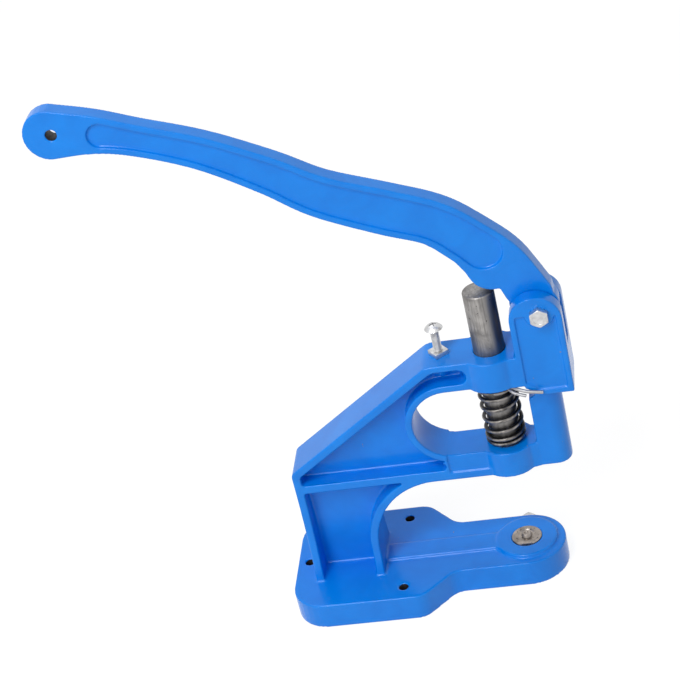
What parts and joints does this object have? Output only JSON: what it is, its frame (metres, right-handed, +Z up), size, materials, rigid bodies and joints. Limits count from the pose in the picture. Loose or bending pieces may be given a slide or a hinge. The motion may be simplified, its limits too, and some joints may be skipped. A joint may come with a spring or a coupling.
{
  "type": "hand-lever eyelet press",
  "caption": "Bench hand-lever press for setting eyelets, grommets and snaps: cast frame, curved lever, spring-returned sliding ram over a lower die.",
  "frame": {"origin": "on the ram's vertical axis, at the underside of the base", "axes": "+X from the column towards the ram and the die tongue, away from the lever's grip; +Y across the machine; +Z up along the ram's axis"},
  "size_m": [0.3278, 0.1054, 0.418],
  "materials": {
    "blue_paint": "gloss enamel on a casting",
    "ram_steel": "ground and oiled",
    "zinc": "bright zinc plate",
    "spring_steel": "blackened and oiled"
  },
  "bodies": {
    "frame": {"frame_casting": "blue_paint", "pivot_bolt": "zinc", "pivot_washer": "zinc", "pivot_nut": "zinc", "return_spring": "spring_steel", "stop_screw": "zinc", "stop_nut": "zinc", "lower_die": "ram_steel", "die_screw": "zinc"},
    "lever": {"lever": "blue_paint"},
    "ram": {"ram": "ram_steel", "split_pin": "zinc"}
  },
  "joints": [
    {"name": "lever_pivot", "type": "hinge", "parent": "frame", "child": "lever", "pos_m": [0.0395, 0, 0.2225], "axis": [0, -1, 0], "range_deg": [0, 46.5]},
    {"name": "ram_slide", "type": "slide", "parent": "frame", "child": "ram", "axis": [0, 0, -1], "range_m": [0, 0.0284], "stiffness_N_per_m": 3700, "springref_m": -0.0155, "deforming": ["return_spring"]}
  ],
  "couplings": [
    {"joint": "ram_slide", "follows": "lever_pivot", "m_per_rad": 0.0349}
  ]
}
